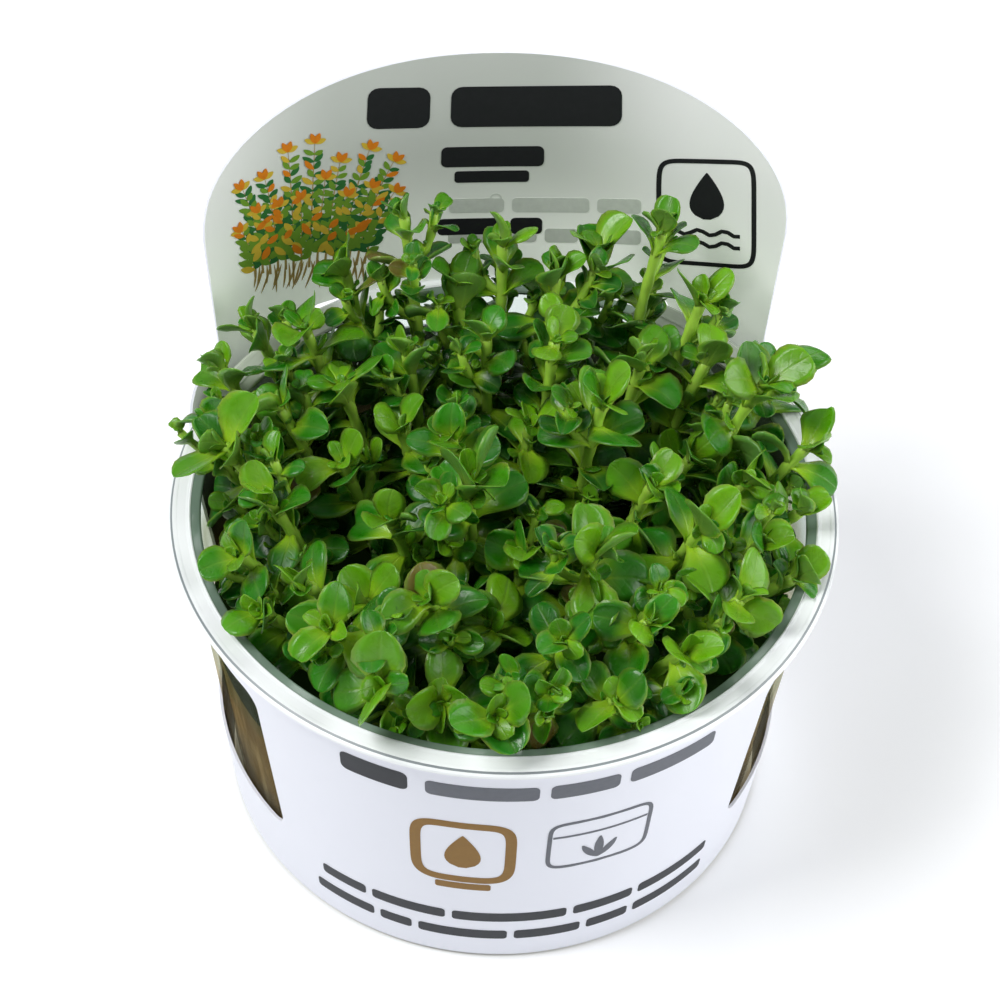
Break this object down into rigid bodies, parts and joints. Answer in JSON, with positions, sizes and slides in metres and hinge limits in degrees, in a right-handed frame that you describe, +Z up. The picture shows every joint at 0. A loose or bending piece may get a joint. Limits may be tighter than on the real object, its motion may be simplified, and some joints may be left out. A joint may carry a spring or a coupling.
{
  "type": "potted rotala aquarium plant",
  "caption": "Small rotala with opposite rounded leaves, growing in gel in a clear tapered cup with a wrapped label and tall rounded tag.",
  "frame": {"origin": "middle of the cup's flat base", "axes": "+Z up along the cup's axis; the front of the label faces -Y and the tag stands behind the plant, at +Y"},
  "size_m": [0.1011, 0.1024, 0.101],
  "materials": {
    "cup_plastic": "clear, glossy, moulded",
    "label_film": "satin printed film, slightly see-through",
    "gel": "wet set gel",
    "foliage": "fresh, smooth, glossy leaves"
  },
  "bodies": {
    "root": {"cup": "cup_plastic", "growing_medium": "gel", "label_sleeve": "label_film", "shoot_01": "foliage", "shoot_02": "foliage", "shoot_03": "foliage", "shoot_04": "foliage", "shoot_05": "foliage", "shoot_06": "foliage", "shoot_07": "foliage", "shoot_08": "foliage", "shoot_09": "foliage", "shoot_10": "foliage", "shoot_11": "foliage", "shoot_12": "foliage", "shoot_13": "foliage", "shoot_14": "foliage", "shoot_15": "foliage", "shoot_16": "foliage", "shoot_17": "foliage", "shoot_18": "foliage", "shoot_19": "foliage", "shoot_20": "foliage", "shoot_21": "foliage", "shoot_22": "foliage", "shoot_23": "foliage", "shoot_24": "foliage", "shoot_25": "foliage", "shoot_26": "foliage", "shoot_27": "foliage", "shoot_28": "foliage", "shoot_29": "foliage", "shoot_30": "foliage", "shoot_31": "foliage", "shoot_32": "foliage", "shoot_33": "foliage", "shoot_34": "foliage", "shoot_35": "foliage", "shoot_36": "foliage", "shoot_37": "foliage", "shoot_38": "foliage", "shoot_39": "foliage", "shoot_40": "foliage", "shoot_41": "foliage", "shoot_42": "foliage", "shoot_43": "foliage", "shoot_44": "foliage", "shoot_45": "foliage", "shoot_46": "foliage", "shoot_47": "foliage", "shoot_48": "foliage", "shoot_49": "foliage", "shoot_50": "foliage", "shoot_51": "foliage", "shoot_52": "foliage", "shoot_53": "foliage", "shoot_54": "foliage", "shoot_55": "foliage", "shoot_56": "foliage", "shoot_57": "foliage"}
  },
  "joints": []
}
